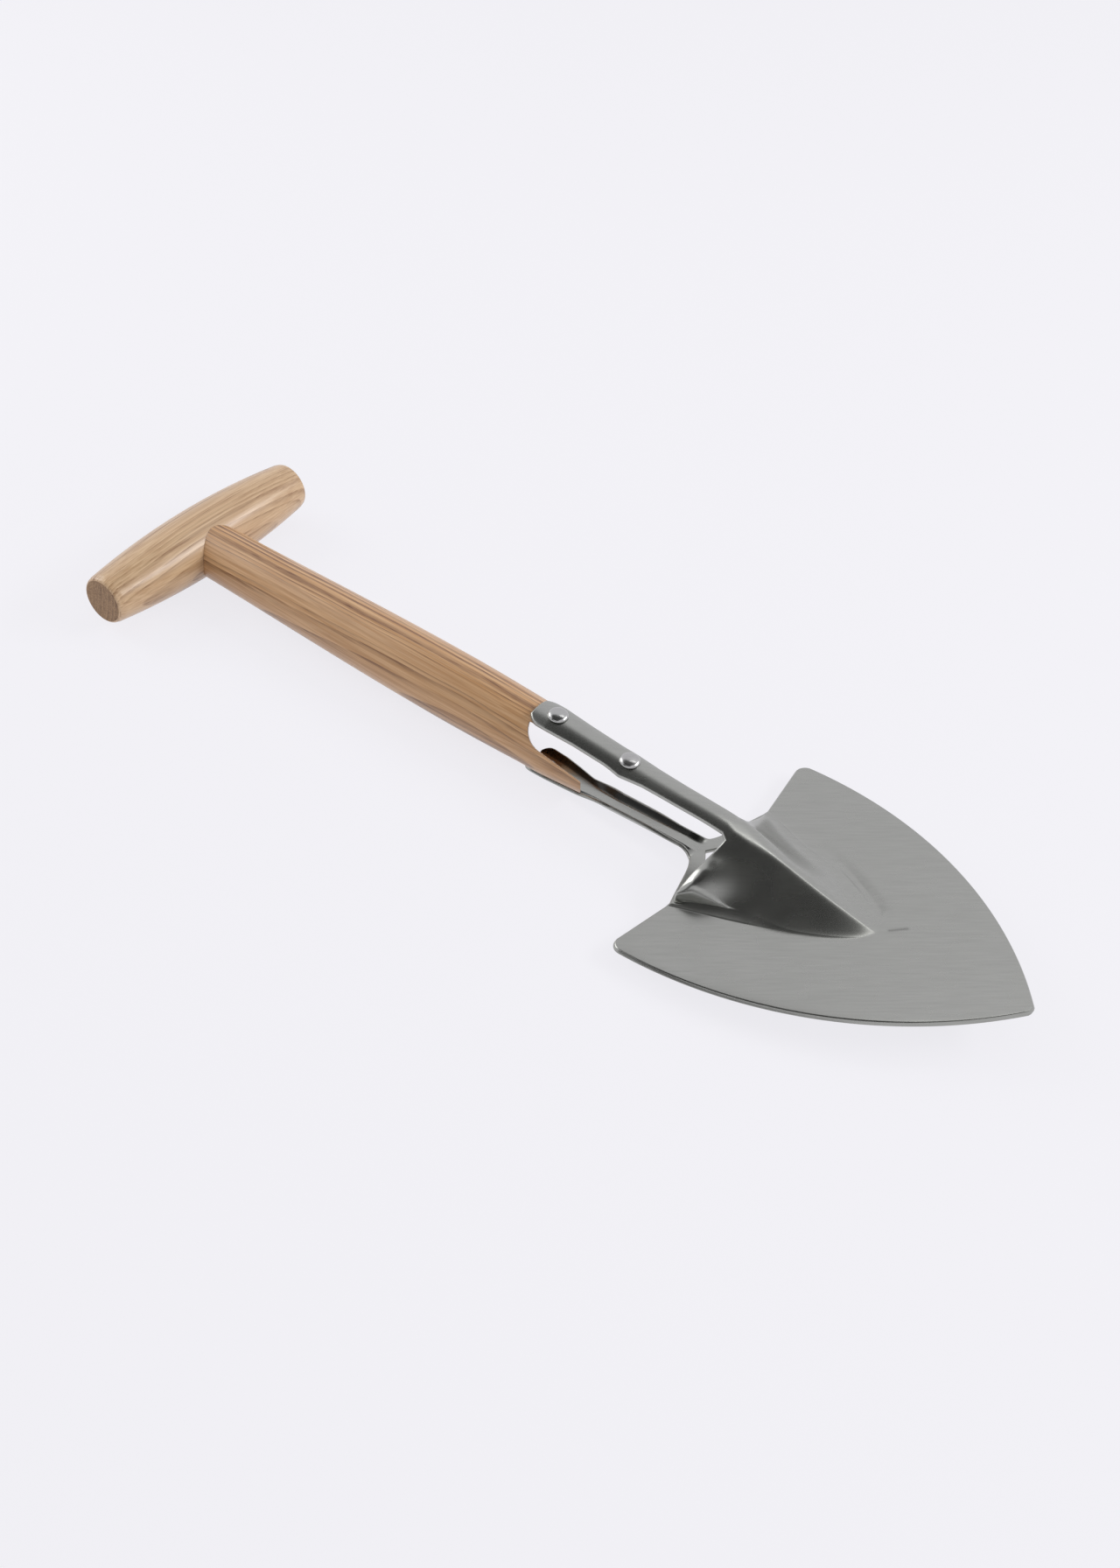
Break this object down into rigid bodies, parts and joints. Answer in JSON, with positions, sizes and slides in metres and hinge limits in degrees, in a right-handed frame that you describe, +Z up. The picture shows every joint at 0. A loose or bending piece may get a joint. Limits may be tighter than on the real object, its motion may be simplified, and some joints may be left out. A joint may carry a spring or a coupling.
{
  "type": "garden spade",
  "caption": "Short garden spade for planting: a cross grip on a round wooden shaft, held between riveted straps of a pointed steel blade with a hollow ridge.",
  "frame": {"origin": "on the ground under the middle of the whole length, in the plane that halves the blade", "axes": "+Z up, out of the blade's face; +Y along the shaft towards the grip; +X to the blade's side"},
  "size_m": [0.1616, 0.5232, 0.0396],
  "materials": {
    "ash": "oiled ash, straight grain",
    "wedge_wood": "hardwood, sanded flush",
    "satin_steel": "satin stainless steel",
    "rivet_steel": "bright stainless steel"
  },
  "bodies": {
    "root": {"t_grip": "ash", "shaft": "ash", "tenon_wedge": "wedge_wood", "blade": "satin_steel", "back_strap": "satin_steel", "front_rivet_upper": "rivet_steel", "front_rivet_lower": "rivet_steel", "front_burr_upper": "rivet_steel", "front_burr_lower": "rivet_steel", "back_screw_upper": "rivet_steel", "back_screw_lower": "rivet_steel"}
  },
  "joints": []
}
